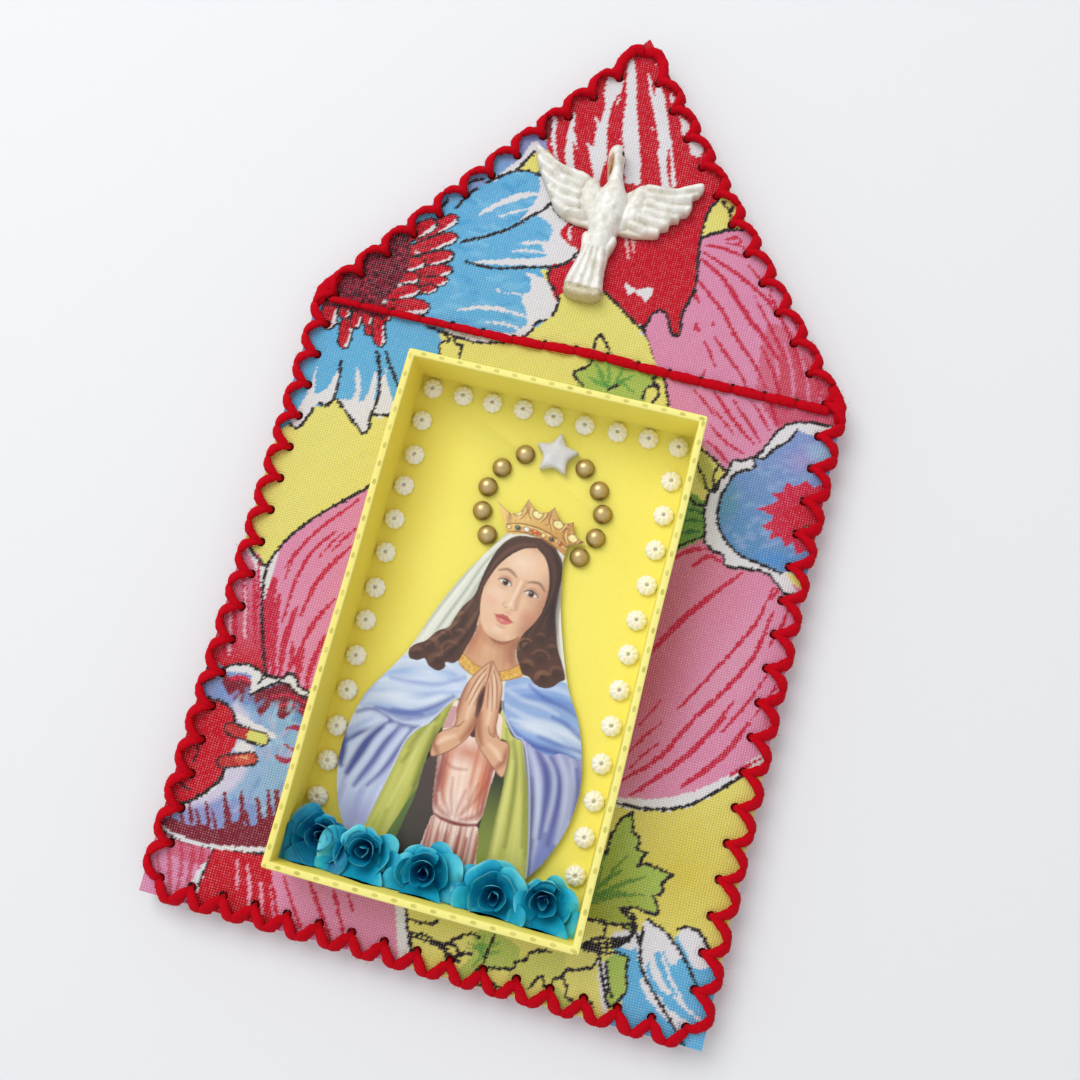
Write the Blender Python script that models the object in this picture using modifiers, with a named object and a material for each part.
"""A small hand-made wall chapel.

A house-shaped board is covered with printed cotton, oversewn all round with red wool, and carries
a yellow paper tray.  The tray holds a cut-out card of the Madonna, a halo of half beads, a star
and five paper roses.  A cast dove is glued on the gable.

Frame: metres, +Z up towards the gable, the front faces -Y.  The wool oversewn round the edge
stands proud behind and lies against the wall on the plane Y = 0.  The origin is there, on the
middle stitch of the bottom edge.  In this file depths are measured from the lining and heights
from the board's lower edge, and one parent empty moves the whole model to the origin at the end.
"""

import math

import bmesh
import bpy
from mathutils import Matrix, Vector

# ---------------------------------------------------------------- driving dimensions
BOARD_WIDTH = 0.135
EAVES_HEIGHT = 0.1532
PEAK_HEIGHT = 0.2396
PEAK_SHIFT = -0.0018            # the peak was cut a little left of the middle
LINING_THICKNESS = 0.0005
BOARD_THICKNESS = 0.0024
CLOTH_THICKNESS = 0.0005
SEAT_GAP = 0.0003               # glue line between any two pieces

YARN_WIDTH = 0.0026
YARN_PROUD = 0.0024             # how far a strand stands off the cloth
STITCH_INSET = 0.0044           # from the edge to the row of holes
STITCH_OVERHANG = 0.0004        # from the edge to the middle of an outer turn
STITCH_END_GAP = 0.0012         # from a shared corner hole to the start of a strand
SIDE_STITCHES = 18
BOTTOM_STITCHES = 16
ROOF_STITCHES = 11
PEAK_HOLE_DISTANCE = 0.0115     # down each roof edge from the peak to its top hole
PEAK_TURN_DROP = 0.0006         # the strand over the tip turns this far below it

EAVES_ROW_DROP = 0.0014         # the sewn row across runs this far below the eaves
EAVES_ROW_BOW = 0.0014
EAVES_ROW_STITCHES = 16
EAVES_ROW_RADIUS = 0.0012
EAVES_ROW_PINCH = 0.55          # share of the radius left where a strand dips into its hole
EAVES_ROW_END = 0.0006          # clear space between the row and the edge stitches

TRAY_WIDTH = 0.0720
TRAY_BOTTOM = 0.0159            # from the board's lower edge to the tray
TRAY_TOP_SPACE = 0.0149         # from the tray to the eaves
TRAY_SHIFT = -0.0006
TRAY_DEPTH = 0.0169
TRAY_WALL = 0.0017
TRAY_FLOOR = 0.0012

FLOWER_BEAD_RADIUS = 0.0025
FLOWER_BEAD_HEIGHT = 0.0020
FLOWER_BEAD_INSET = 0.0029      # bead centre from the tray's inner wall
FLOWER_BEADS_ACROSS = 9
FLOWER_BEADS_DOWN = 13
FLOWER_BEADS_LOWEST_LEFT = 0.0141       # lowest bead's centre above the bottom wall
FLOWER_BEADS_LOWEST_RIGHT = 0.0122

CARD_THICKNESS = 0.0008
CARD_LIFT = 0.0008              # foam pad behind the card
CARD_SIDE_SPACE = 0.0060        # from the tray's inner side walls to the card's widest place
CARD_BOTTOM_SPACE = 0.0064
CARD_TOP_SPACE = 0.0244         # room above the crown for the halo, the star and the beads
CROWN_HALF_WIDTH = 0.0111

HALO_CLEARANCE = 0.0035         # from the crown's tips to the ring of half beads
HALO_SHIFT = 0.0029             # the ring's middle from the tray's middle
HALO_DROP = 0.0017              # the ring's middle below the crown's tips
HALO_BEAD_RADIUS = 0.0024
HALO_ANGLES = (31.0, 57.0, 80.0, 104.0, 128.0)   # from straight up, on either side

STAR_RADIUS = 0.0054
STAR_WAIST = 0.0029
STAR_HEIGHT = 0.0028

ROSE_COUNT = 5
ROSE_SPACE = 0.0004             # between roses side by side
ROSE_HEIGHT = 0.0100
ROSE_TURNED = (0.0, 25.0, 50.0, 10.0, 40.0)

DOVE_SHIFT = -0.0020
DOVE_RISE = 0.0348              # from the eaves to the middle of the body
DOVE_BODY = (0.0100, 0.0300, 0.0110)             # width, length and full roundness of the body
DOVE_HEAD = (0.0060, 0.0090, 0.0090)
DOVE_WING_THICKNESS = 0.0026

# ---------------------------------------------------------------- sizes that follow
BOARD_BACK = -(LINING_THICKNESS + SEAT_GAP)
BOARD_FRONT = BOARD_BACK - BOARD_THICKNESS
CLOTH_BACK = BOARD_FRONT - SEAT_GAP
CLOTH_FRONT = CLOTH_BACK - CLOTH_THICKNESS

TRAY_BACK = CLOTH_FRONT - SEAT_GAP
TRAY_FLOOR_FRONT = TRAY_BACK - TRAY_FLOOR
TRAY_RIM = TRAY_BACK - TRAY_DEPTH
TRAY_TOP = EAVES_HEIGHT - TRAY_TOP_SPACE
TRAY_LEFT = TRAY_SHIFT - TRAY_WIDTH / 2
TRAY_RIGHT = TRAY_SHIFT + TRAY_WIDTH / 2
INNER_LEFT = TRAY_LEFT + TRAY_WALL
INNER_RIGHT = TRAY_RIGHT - TRAY_WALL
INNER_BOTTOM = TRAY_BOTTOM + TRAY_WALL
INNER_TOP = TRAY_TOP - TRAY_WALL
IN_TRAY = TRAY_FLOOR_FRONT - SEAT_GAP            # where the glued pieces in the tray sit
CARD_BACK = IN_TRAY - CARD_LIFT
CARD_FRONT = CARD_BACK - CARD_THICKNESS
CARD_WIDTH = INNER_RIGHT - INNER_LEFT - 2 * CARD_SIDE_SPACE
CARD_BOTTOM = INNER_BOTTOM + CARD_BOTTOM_SPACE
CARD_TOP = INNER_TOP - CARD_TOP_SPACE
HALO_RADIUS = CROWN_HALF_WIDTH + HALO_CLEARANCE
HALO_MIDDLE = (TRAY_SHIFT + HALO_SHIFT, CARD_TOP - HALO_DROP)
ROSE_RADIUS = (INNER_RIGHT - INNER_LEFT - (ROSE_COUNT + 1) * ROSE_SPACE) / (2 * ROSE_COUNT)
DOVE_MIDDLE = EAVES_HEIGHT + DOVE_RISE

CORNERS = {
    "bottom_left": Vector((-BOARD_WIDTH / 2, 0.0)),
    "eaves_left": Vector((-BOARD_WIDTH / 2, EAVES_HEIGHT)),
    "peak": Vector((PEAK_SHIFT, PEAK_HEIGHT)),
    "eaves_right": Vector((BOARD_WIDTH / 2, EAVES_HEIGHT)),
    "bottom_right": Vector((BOARD_WIDTH / 2, 0.0)),
}
CORNER_ORDER = list(CORNERS)

YARN_BACK = SEAT_GAP + YARN_PROUD                # where the wool meets the wall

MODEL_NAME = "wall_chapel"


# ---------------------------------------------------------------- scene and materials
def clear_scene():
    for old in list(bpy.data.objects):
        bpy.data.objects.remove(old, do_unlink=True)


def new_collection(name):
    collection = bpy.data.collections.new(name)
    bpy.context.scene.collection.children.link(collection)
    return collection


def new_material(name, colour, roughness, metallic=0.0):
    material = bpy.data.materials.new(name)
    material.use_nodes = True
    shader = material.node_tree.nodes["Principled BSDF"]
    shader.inputs["Base Color"].default_value = (*colour, 1.0)
    shader.inputs["Roughness"].default_value = roughness
    shader.inputs["Metallic"].default_value = metallic
    material.diffuse_color = (*colour, 1.0)
    return material


clear_scene()
PIECES = new_collection(MODEL_NAME)
CUTTERS = new_collection(MODEL_NAME + "_cutters")
ROOT = bpy.data.objects.new(MODEL_NAME + "_origin", None)
PIECES.objects.link(ROOT)

GREYBOARD = new_material("greyboard", (0.30, 0.26, 0.20), 0.9)
PRINTED_COTTON = new_material("printed_cotton", (0.80, 0.72, 0.20), 0.9)
PLAIN_COTTON = new_material("plain_cotton", (0.78, 0.10, 0.12), 0.9)
RED_WOOL = new_material("red_wool", (0.60, 0.005, 0.02), 0.95)
YELLOW_PAPER = new_material("yellow_paper", (0.86, 0.78, 0.16), 0.7)
PRINTED_CARD = new_material("printed_card", (0.35, 0.45, 0.75), 0.35)
OLD_GOLD = new_material("old_gold", (0.32, 0.22, 0.08), 0.35, 0.9)
PALE_PLASTIC = new_material("pale_plastic", (0.70, 0.70, 0.72), 0.4)
BLUE_PAPER = new_material("blue_paper", (0.01, 0.30, 0.52), 0.7)
SILVER_CASTING = new_material("silver_casting", (0.78, 0.77, 0.74), 0.35, 0.4)


# ---------------------------------------------------------------- shape helpers
def add_piece(name, mesh, material):
    piece = bpy.data.objects.new(name, mesh)
    mesh.materials.clear()
    mesh.materials.append(material)
    PIECES.objects.link(piece)
    piece.parent = ROOT
    return piece


def hide_cutter(cutter):
    for collection in list(cutter.users_collection):
        collection.objects.unlink(cutter)
    CUTTERS.objects.link(cutter)
    cutter.parent = ROOT
    cutter.hide_render = True
    cutter.display_type = "WIRE"


def combine(piece, tool, operation):
    modifier = piece.modifiers.new(operation.lower(), "BOOLEAN")
    modifier.operation = operation
    modifier.solver = "EXACT"
    modifier.object = tool


def box_mesh(name, low, high):
    mesh = bpy.data.meshes.new(name)
    shape = bmesh.new()
    bmesh.ops.create_cube(shape, size=1.0)
    size = Vector(high) - Vector(low)
    middle = (Vector(high) + Vector(low)) / 2
    bmesh.ops.scale(shape, vec=size, verts=shape.verts)
    bmesh.ops.translate(shape, vec=middle, verts=shape.verts)
    shape.to_mesh(mesh)
    shape.free()
    return mesh


def plate(name, outline, front, back, material):
    """An upright plate with its outline in X and Z, between two depths."""
    curve = bpy.data.curves.new(name, "CURVE")
    curve.dimensions = "2D"
    curve.fill_mode = "BOTH"
    curve.extrude = abs(front - back) / 2
    spline = curve.splines.new("POLY")
    spline.points.add(len(outline) - 1)
    for point, place in zip(spline.points, outline):
        point.co = (place[0], place[1], 0.0, 1.0)
    spline.use_cyclic_u = True
    flat = bpy.data.objects.new(name, curve)
    flat.rotation_euler = (math.radians(90.0), 0.0, 0.0)
    flat.location = (0.0, (front + back) / 2, 0.0)
    PIECES.objects.link(flat)
    return as_mesh_piece(flat, name, material)


def as_mesh_piece(source, name, material):
    """The curve object as a closed mesh in the same place."""
    bpy.context.view_layer.update()
    placed = source.matrix_world.copy()
    mesh = bpy.data.meshes.new_from_object(source.evaluated_get(bpy.context.evaluated_depsgraph_get()))
    shape = bmesh.new()
    shape.from_mesh(mesh)
    bmesh.ops.remove_doubles(shape, verts=shape.verts, dist=0.00001)
    bmesh.ops.recalc_face_normals(shape, faces=shape.faces)
    shape.to_mesh(mesh)
    shape.free()
    data = source.data
    bpy.data.objects.remove(source, do_unlink=True)
    bpy.data.curves.remove(data)
    piece = add_piece(name, mesh, material)
    piece.matrix_world = placed
    return piece


def offset_outline(outline, distance):
    """The closed outline moved outwards; the outline runs clockwise seen from the front."""
    moved = []
    count = len(outline)
    for index, corner in enumerate(outline):
        before = (corner - outline[index - 1]).normalized()
        after = (outline[(index + 1) % count] - corner).normalized()
        left_before = Vector((-before.y, before.x))
        left_after = Vector((-after.y, after.x))
        middle = (left_before + left_after).normalized()
        moved.append(corner + middle * (distance / middle.dot(left_before)))
    return moved


def stroke_outline(path, width, longest_corner=1.25):
    """The outline of a pen stroke along the path, with its sharp corners cut off."""
    def one_side(points):
        side = []
        for index, place in enumerate(points):
            into = (place - points[index - 1]).normalized() if index else None
            out = (points[index + 1] - place).normalized() if index < len(points) - 1 else None
            into = into or out
            out = out or into
            left_in = Vector((-into.y, into.x)) * width / 2
            left_out = Vector((-out.y, out.x)) * width / 2
            middle = (left_in + left_out).normalized()
            reach = (width / 2) / middle.dot(left_in.normalized())
            turns_left = into.x * out.y - into.y * out.x > 0
            if turns_left or reach <= longest_corner * width / 2:
                side.append(place + middle * reach)
            else:
                side.append(place + left_in)
                side.append(place + left_out)
        return side
    return one_side(path) + one_side(path[::-1])


# ---------------------------------------------------------------- board, cloth and stitches
BOARD_OUTLINE = [CORNERS[name] for name in CORNER_ORDER]
HOLE_CORNERS = dict(zip(CORNER_ORDER, offset_outline(BOARD_OUTLINE, -STITCH_INSET)))


def peak_hole(side):
    """The top hole on the roof edge that runs from the peak to the eaves of one side."""
    edge = (CORNERS["eaves_" + side] - CORNERS["peak"]).normalized()
    inwards = Vector((-edge.y, edge.x)) if side == "left" else Vector((edge.y, -edge.x))
    return CORNERS["peak"] + edge * PEAK_HOLE_DISTANCE + inwards * STITCH_INSET


def stitch_path(start, end, stitches):
    """Zigzag from one corner hole to the next, turning round the edge between the holes."""
    along = (end - start).normalized()
    outwards = Vector((-along.y, along.x))
    pitch = (end - start).length / stitches
    reach = STITCH_INSET + STITCH_OVERHANG
    path = []
    for index in range(stitches):
        path.append(start + along * pitch * index)
        path.append(start + along * pitch * (index + 0.5) + outwards * reach)
    path.append(end.copy())
    return path


def edge_stitches(name, path):
    """Wool oversewn along one edge: the zigzag on both faces, joined round the edge."""
    path[0] = path[0] + (path[1] - path[0]).normalized() * STITCH_END_GAP
    path[-1] = path[-1] + (path[-2] - path[-1]).normalized() * STITCH_END_GAP
    outline = stroke_outline(path, YARN_WIDTH)
    front = CLOTH_FRONT - SEAT_GAP - YARN_PROUD
    yarn = plate(name, outline, front, YARN_BACK, RED_WOOL)
    slot = plate(name + "_slot", offset_outline(BOARD_OUTLINE, SEAT_GAP),
                 CLOTH_FRONT - SEAT_GAP, SEAT_GAP, RED_WOOL)
    hide_cutter(slot)
    combine(yarn, slot, "DIFFERENCE")
    return yarn


def build_edge_stitches():
    corner = HOLE_CORNERS
    top_left = peak_hole("left")
    top_right = peak_hole("right")
    tip = CORNERS["peak"] - Vector((0.0, PEAK_TURN_DROP))
    edge_stitches("stitches_left_side",
                  stitch_path(corner["bottom_left"], corner["eaves_left"], SIDE_STITCHES))
    edge_stitches("stitches_left_roof",
                  stitch_path(corner["eaves_left"], top_left, ROOF_STITCHES) + [tip, top_right])
    edge_stitches("stitches_right_roof",
                  stitch_path(top_right, corner["eaves_right"], ROOF_STITCHES))
    edge_stitches("stitches_right_side",
                  stitch_path(corner["eaves_right"], corner["bottom_right"], SIDE_STITCHES))
    edge_stitches("stitches_bottom",
                  stitch_path(corner["bottom_right"], corner["bottom_left"], BOTTOM_STITCHES))


def eaves_row(name, centre_y):
    """A row of back stitches across the board at the eaves, in one strand."""
    reach = BOARD_WIDTH / 2 - STITCH_INSET - YARN_WIDTH / 2 - EAVES_ROW_END
    height = EAVES_HEIGHT - EAVES_ROW_DROP
    curve = bpy.data.curves.new(name, "CURVE")
    curve.dimensions = "3D"
    curve.bevel_depth = EAVES_ROW_RADIUS
    curve.bevel_resolution = 1
    curve.use_fill_caps = True
    spline = curve.splines.new("POLY")
    steps = EAVES_ROW_STITCHES * 3
    spline.points.add(steps)
    for index, point in enumerate(spline.points):
        share = index / steps
        across = -reach + 2 * reach * share
        bow = EAVES_ROW_BOW * math.sin(math.pi * share)
        point.co = (across, centre_y, height + bow, 1.0)
        point.radius = EAVES_ROW_PINCH if index % 3 == 0 else 1.0
    row = bpy.data.objects.new(name, curve)
    PIECES.objects.link(row)
    return as_mesh_piece(row, name, RED_WOOL)


def build_board():
    plate("back_lining", BOARD_OUTLINE, -LINING_THICKNESS, 0.0, PLAIN_COTTON)
    plate("backing_board", BOARD_OUTLINE, BOARD_FRONT, BOARD_BACK, GREYBOARD)
    plate("front_cloth", BOARD_OUTLINE, CLOTH_FRONT, CLOTH_BACK, PRINTED_COTTON)
    build_edge_stitches()
    off_the_cloth = SEAT_GAP + EAVES_ROW_RADIUS
    eaves_row("eaves_stitches_front", CLOTH_FRONT - off_the_cloth)
    eaves_row("eaves_stitches_back", off_the_cloth)


# ---------------------------------------------------------------- tray
def flower_bead_places():
    """Bead centres along the top and down both sides of the tray floor."""
    left = INNER_LEFT + FLOWER_BEAD_INSET
    right = INNER_RIGHT - FLOWER_BEAD_INSET
    top = INNER_TOP - FLOWER_BEAD_INSET
    lowest_left = INNER_BOTTOM + FLOWER_BEADS_LOWEST_LEFT
    lowest_right = INNER_BOTTOM + FLOWER_BEADS_LOWEST_RIGHT
    places = []
    for index in range(FLOWER_BEADS_ACROSS):
        places.append((left + (right - left) * index / (FLOWER_BEADS_ACROSS - 1), top))
    for index in range(1, FLOWER_BEADS_DOWN):
        share = index / (FLOWER_BEADS_DOWN - 1)
        places.append((left, top + (lowest_left - top) * share))
        places.append((right, top + (lowest_right - top) * share))
    return places


def flower_bead_cutter():
    """The flower beads as one tool: low eight-sided discs that start inside the floor."""
    mesh = bpy.data.meshes.new("flower_beads")
    shape = bmesh.new()
    buried = TRAY_FLOOR / 2
    depth = FLOWER_BEAD_HEIGHT + buried
    middle = TRAY_FLOOR_FRONT + buried - depth / 2
    for across, height in flower_bead_places():
        turned = Matrix.Rotation(math.radians(90.0), 4, "X")
        placed = Matrix.Translation((across, middle, height)) @ turned
        bmesh.ops.create_cone(
            shape, cap_ends=True, segments=8, depth=depth, matrix=placed,
            radius1=FLOWER_BEAD_RADIUS, radius2=FLOWER_BEAD_RADIUS * 0.8)
    shape.to_mesh(mesh)
    shape.free()
    cutter = bpy.data.objects.new("flower_beads", mesh)
    CUTTERS.objects.link(cutter)
    hide_cutter(cutter)
    return cutter


def build_tray():
    """Floor with its row of flower beads, and four walls of covered card."""
    floor = add_piece("tray_floor", box_mesh(
        "tray_floor",
        (INNER_LEFT + SEAT_GAP, TRAY_FLOOR_FRONT, INNER_BOTTOM + SEAT_GAP),
        (INNER_RIGHT - SEAT_GAP, TRAY_BACK, INNER_TOP - SEAT_GAP)), YELLOW_PAPER)
    combine(floor, flower_bead_cutter(), "UNION")
    walls = {
        "tray_left_wall": (TRAY_LEFT, INNER_LEFT, INNER_BOTTOM, INNER_TOP),
        "tray_right_wall": (INNER_RIGHT, TRAY_RIGHT, INNER_BOTTOM, INNER_TOP),
        "tray_top_wall": (TRAY_LEFT, TRAY_RIGHT, INNER_TOP + SEAT_GAP, TRAY_TOP),
        "tray_bottom_wall": (TRAY_LEFT, TRAY_RIGHT, TRAY_BOTTOM, INNER_BOTTOM - SEAT_GAP),
    }
    for name, (left, right, low, high) in walls.items():
        mesh = box_mesh(name, (left, TRAY_RIM, low), (right, TRAY_BACK, high))
        add_piece(name, mesh, YELLOW_PAPER)


# ---------------------------------------------------------------- pieces in the tray
def card_outline():
    """The cut-out card: crown points on top, then the veil and the mantle down to the roses.

    The crown keeps its own size.  Below it, across is in half widths of the card and height is a
    share of the way from the card's lower edge up to the foot of the crown.
    """
    crown = [
        (-0.96, 0.0024), (-0.54, 0.0034), (-0.34, 0.0000), (-0.07, 0.0028), (0.16, 0.0004),
        (0.40, 0.0040), (0.67, 0.0030), (0.79, 0.0062), (1.04, 0.0066), (0.75, 0.0084),
    ]
    right_side = [
        (0.385, 0.955), (0.450, 0.830), (0.560, 0.705), (0.690, 0.587), (0.830, 0.505),
        (0.935, 0.405), (0.985, 0.303), (0.950, 0.189), (0.820, 0.076), (0.660, 0.000),
    ]
    left_side = [
        (-0.720, 0.000), (-0.890, 0.076), (-1.000, 0.189), (-1.015, 0.303), (-0.945, 0.423),
        (-0.780, 0.524), (-0.680, 0.593), (-0.570, 0.705), (-0.440, 0.815), (-0.285, 0.912),
        (-0.135, 0.997),
    ]
    foot = CARD_TOP - 0.0090
    middle = HALO_MIDDLE[0] - 0.0002
    points = [Vector((middle + CROWN_HALF_WIDTH * across, CARD_TOP - drop))
              for across, drop in crown]
    for across, share in right_side + left_side:
        points.append(Vector((TRAY_SHIFT + across * CARD_WIDTH / 2,
                              CARD_BOTTOM + (foot - CARD_BOTTOM) * share)))
    return points


def build_card():
    plate("madonna_card", card_outline(), CARD_FRONT, CARD_BACK, PRINTED_CARD)


def build_star():
    points = []
    for index in range(10):
        angle = math.radians(36.0 * index)
        reach = STAR_WAIST if index % 2 else STAR_RADIUS
        points.append(Vector((HALO_MIDDLE[0] + reach * math.sin(angle),
                              HALO_MIDDLE[1] + HALO_RADIUS + reach * math.cos(angle))))
    star = plate("halo_star", points, IN_TRAY - STAR_HEIGHT, IN_TRAY, PALE_PLASTIC)
    soften = star.modifiers.new("soften", "BEVEL")
    soften.width = STAR_HEIGHT * 0.25
    soften.segments = 1
    soften.limit_method = "ANGLE"


def half_bead_mesh():
    """A half ball lying on its flat side, which faces +Y."""
    mesh = bpy.data.meshes.new("half_bead")
    shape = bmesh.new()
    bmesh.ops.create_uvsphere(shape, u_segments=12, v_segments=8, radius=HALO_BEAD_RADIUS)
    bmesh.ops.rotate(shape, cent=(0, 0, 0), matrix=Matrix.Rotation(math.radians(90.0), 3, "X"),
                     verts=shape.verts)
    cut = bmesh.ops.bisect_plane(
        shape, geom=shape.verts[:] + shape.edges[:] + shape.faces[:],
        plane_co=(0, 0, 0), plane_no=(0, 1, 0), clear_outer=True)
    rim = [part for part in cut["geom_cut"] if isinstance(part, bmesh.types.BMEdge)]
    bmesh.ops.edgeloop_fill(shape, edges=rim)
    bmesh.ops.recalc_face_normals(shape, faces=shape.faces)
    shape.to_mesh(mesh)
    shape.free()
    return mesh


def build_halo():
    mesh = half_bead_mesh()
    number = 0
    for side in (-1, 1):
        for angle in HALO_ANGLES:
            number += 1
            turn = math.radians(angle) * side
            bead = add_piece(f"halo_bead_{number}", mesh, OLD_GOLD)
            bead.location = (HALO_MIDDLE[0] + HALO_RADIUS * math.sin(turn), IN_TRAY,
                             HALO_MIDDLE[1] + HALO_RADIUS * math.cos(turn))


def rose_mesh():
    """A five-petalled paper rose seen as one mass: lobed skirt, raised heart, flat base."""
    mesh = bpy.data.meshes.new("paper_rose")
    rings = [(0.72, 0.0), (1.0, 0.42), (0.82, 0.74), (0.50, 0.90), (0.34, 1.0)]
    around = 20
    shape = bmesh.new()
    loops = []
    for reach, rise in rings:
        loop = []
        for step in range(around):
            angle = 2 * math.pi * step / around
            lobe = 1.0 + 0.07 * (math.cos(5 * angle) - 1.0) * (1.0 if rise < 0.8 else 0.0)
            radius = ROSE_RADIUS * reach * lobe
            loop.append(shape.verts.new((radius * math.cos(angle), -ROSE_HEIGHT * rise,
                                         radius * math.sin(angle))))
        loops.append(loop)
    for lower, upper in zip(loops, loops[1:]):
        for step in range(around):
            following = (step + 1) % around
            shape.faces.new((lower[step], lower[following], upper[following], upper[step]))
    shape.faces.new(loops[0])
    shape.faces.new(loops[-1])
    bmesh.ops.recalc_face_normals(shape, faces=shape.faces)
    shape.to_mesh(mesh)
    shape.free()
    return mesh


def build_roses():
    mesh = rose_mesh()
    first = INNER_LEFT + ROSE_SPACE + ROSE_RADIUS
    last = INNER_RIGHT - ROSE_SPACE - ROSE_RADIUS
    height = INNER_BOTTOM + SEAT_GAP + ROSE_RADIUS
    for index in range(ROSE_COUNT):
        rose = add_piece(f"paper_rose_{index + 1}", mesh, BLUE_PAPER)
        across = first + (last - first) * index / (ROSE_COUNT - 1)
        rose.location = (across, CARD_FRONT - SEAT_GAP, height)
        rose.rotation_euler = (0.0, math.radians(ROSE_TURNED[index]), 0.0)


# ---------------------------------------------------------------- dove
def dove_outline():
    """Wings spread and tail down, about the middle of the body; X across, second value up."""
    left_half = [
        (0.0000, 0.0120), (-0.0030, 0.0060), (-0.0070, 0.0060), (-0.0130, 0.0100),
        (-0.0215, 0.0155), (-0.0200, 0.0100), (-0.0180, 0.0050), (-0.0150, 0.0000),
        (-0.0100, -0.0030), (-0.0045, -0.0050), (-0.0035, -0.0120), (-0.0050, -0.0220),
    ]
    right_half = [(-across, height) for across, height in left_half[:0:-1]]
    return [Vector((across + DOVE_SHIFT, height + DOVE_MIDDLE))
            for across, height in left_half + right_half][::-1]


def half_ball_cutter(name, middle, size, seat):
    """A ball-shaped tool, stretched to a size, with all behind the seat cut away."""
    mesh = bpy.data.meshes.new(name)
    shape = bmesh.new()
    bmesh.ops.create_uvsphere(shape, u_segments=12, v_segments=8, radius=0.5)
    bmesh.ops.scale(shape, vec=size, verts=shape.verts)
    bmesh.ops.translate(shape, vec=middle, verts=shape.verts)
    cut = bmesh.ops.bisect_plane(
        shape, geom=shape.verts[:] + shape.edges[:] + shape.faces[:],
        plane_co=(0, seat, 0), plane_no=(0, 1, 0), clear_outer=True)
    rim = [part for part in cut["geom_cut"] if isinstance(part, bmesh.types.BMEdge)]
    bmesh.ops.edgeloop_fill(shape, edges=rim)
    bmesh.ops.recalc_face_normals(shape, faces=shape.faces)
    shape.to_mesh(mesh)
    shape.free()
    cutter = bpy.data.objects.new(name, mesh)
    CUTTERS.objects.link(cutter)
    hide_cutter(cutter)
    return cutter


def build_dove():
    """A flat-backed relief: spread wings and tail as one plate, with a raised body and head."""
    seat = CLOTH_FRONT - SEAT_GAP
    inside = seat - DOVE_WING_THICKNESS * 0.2
    dove = plate("dove", dove_outline(), seat - DOVE_WING_THICKNESS, seat, SILVER_CASTING)
    body_middle = (DOVE_SHIFT, seat, DOVE_MIDDLE)
    head_middle = (DOVE_SHIFT, seat, DOVE_MIDDLE + DOVE_BODY[1] / 2)
    body = half_ball_cutter("dove_body", body_middle, (DOVE_BODY[0], DOVE_BODY[2], DOVE_BODY[1]), inside)
    head = half_ball_cutter("dove_head", head_middle, DOVE_HEAD, inside)
    combine(dove, body, "UNION")
    combine(dove, head, "UNION")


build_board()
build_tray()
build_card()
build_star()
build_halo()
build_roses()
build_dove()
ROOT.location = (0.0, -YARN_BACK, -STITCH_INSET)
